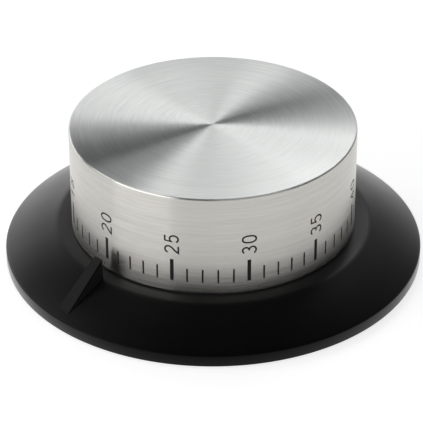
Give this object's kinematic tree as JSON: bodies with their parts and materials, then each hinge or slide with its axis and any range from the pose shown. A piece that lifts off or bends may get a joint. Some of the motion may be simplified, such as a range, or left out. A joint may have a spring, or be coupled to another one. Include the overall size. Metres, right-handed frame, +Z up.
{
  "type": "kitchen timer",
  "caption": "Wind-up kitchen timer: a brushed steel dial with minute marks turns on a low flared black base with a raised pointer rib, over a spring movement that rings a bell.",
  "frame": {"origin": "centre of the underside, on the surface that the timer stands on", "axes": "+Z up along the dial axis; the pointer rib points towards -X and -Y, 46 degrees from -Y"},
  "size_m": [0.1002, 0.1002, 0.0347],
  "materials": {
    "steel": "brushed: concentric on the top face, around the wall",
    "black_plastic": "soft satin black",
    "inner_plastic": "plain moulded",
    "rubber": "matt",
    "zinc": "zinc plated",
    "brass": "stamped",
    "spring_steel": "blued",
    "scale_ink": "printed matt black",
    "plate_steel": "plain stamped sheet"
  },
  "bodies": {
    "base": {"base_skirt": "black_plastic", "bottom_cover": "black_plastic", "foot_ring": "rubber", "cover_screw_1": "zinc", "cover_screw_2": "zinc", "cover_screw_3": "zinc", "bell": "brass", "bell_screw": "zinc", "lower_plate": "plate_steel", "upper_plate": "plate_steel", "arbor_bush": "brass", "pillar_1": "plate_steel", "pillar_2": "plate_steel", "pillar_3": "plate_steel", "pillar_screw_1": "zinc", "pillar_screw_2": "zinc", "pillar_screw_3": "zinc", "movement_screw_1": "zinc", "movement_screw_2": "zinc", "movement_screw_3": "zinc", "stop_pin": "plate_steel"},
    "dial": {"dial_shell": "steel", "dial_insert": "inner_plastic", "main_arbor": "plate_steel", "alarm_cam": "brass", "ratchet_wheel": "spring_steel", "great_wheel": "brass", "click_stud": "plate_steel", "click_spring": "spring_steel"},
    "click": {"click": "plate_steel"},
    "second_wheel": {"second_arbor": "plate_steel", "second_wheel": "brass"},
    "third_wheel": {"third_arbor": "plate_steel", "third_wheel": "brass"},
    "escape_wheel": {"escape_arbor": "plate_steel", "escape_wheel": "brass"},
    "balance": {"balance_staff": "plate_steel", "pallet_fork": "plate_steel", "balance_wheel": "brass"},
    "barrel": {"spring_barrel": "brass", "barrel_lid": "brass", "mainspring": "spring_steel"},
    "strike_wheel": {"strike_arbor": "plate_steel", "strike_wheel": "brass"},
    "hammer": {"hammer_arbor": "plate_steel", "hammer_pallet": "plate_steel", "hammer_arm": "plate_steel", "hammer_head": "brass"},
    "release_lever": {"lever_arbor": "plate_steel", "release_lever": "plate_steel"}
  },
  "joints": [
    {"name": "dial_turn", "type": "hinge", "parent": "base", "child": "dial", "pos_m": [0, 0, 0.0095], "axis": [0, 0, 1], "range_deg": [-234, 120]},
    {"name": "click_pivot", "type": "hinge", "parent": "dial", "child": "click", "pos_m": [-0.00177, 0.01005, 0.0188], "axis": [0, 0, 1], "range_deg": [0, 10]},
    {"name": "second_wheel_spin", "type": "hinge", "parent": "base", "child": "second_wheel", "pos_m": [-0.01698, 0.00239, 0.017], "axis": [0, 0, 1], "continuous": true},
    {"name": "third_wheel_spin", "type": "hinge", "parent": "base", "child": "third_wheel", "pos_m": [-0.01563, -0.00718, 0.017], "axis": [0, 0, 1], "continuous": true},
    {"name": "escape_wheel_spin", "type": "hinge", "parent": "base", "child": "escape_wheel", "pos_m": [-0.01141, -0.01444, 0.017], "axis": [0, 0, 1], "continuous": true},
    {"name": "balance_swing", "type": "hinge", "parent": "base", "child": "balance", "pos_m": [-0.00509, -0.01789, 0.017], "axis": [0, 0, 1], "range_deg": [-10, 10]},
    {"name": "barrel_turn", "type": "hinge", "parent": "base", "child": "barrel", "pos_m": [0, 0, 0.0112], "axis": [0, 0, 1], "range_deg": [-360, 0]},
    {"name": "strike_wheel_spin", "type": "hinge", "parent": "base", "child": "strike_wheel", "pos_m": [0.0084, 0.01455, 0.017], "axis": [0, 0, 1], "continuous": true},
    {"name": "hammer_swing", "type": "hinge", "parent": "base", "child": "hammer", "pos_m": [-0.00215, 0.02049, 0.017], "axis": [0, 0, 1], "range_deg": [-6, 6]},
    {"name": "release_lever_pivot", "type": "hinge", "parent": "base", "child": "release_lever", "pos_m": [0.01808, 0.0073, 0.0228], "axis": [0, 0, 1], "range_deg": [0, 8]}
  ],
  "couplings": [
    {"joint": "second_wheel_spin", "follows": "dial_turn", "ratio": -6},
    {"joint": "third_wheel_spin", "follows": "dial_turn", "ratio": 36},
    {"joint": "escape_wheel_spin", "follows": "dial_turn", "ratio": -216},
    {"joint": "strike_wheel_spin", "follows": "barrel_turn", "ratio": -5}
  ]
}
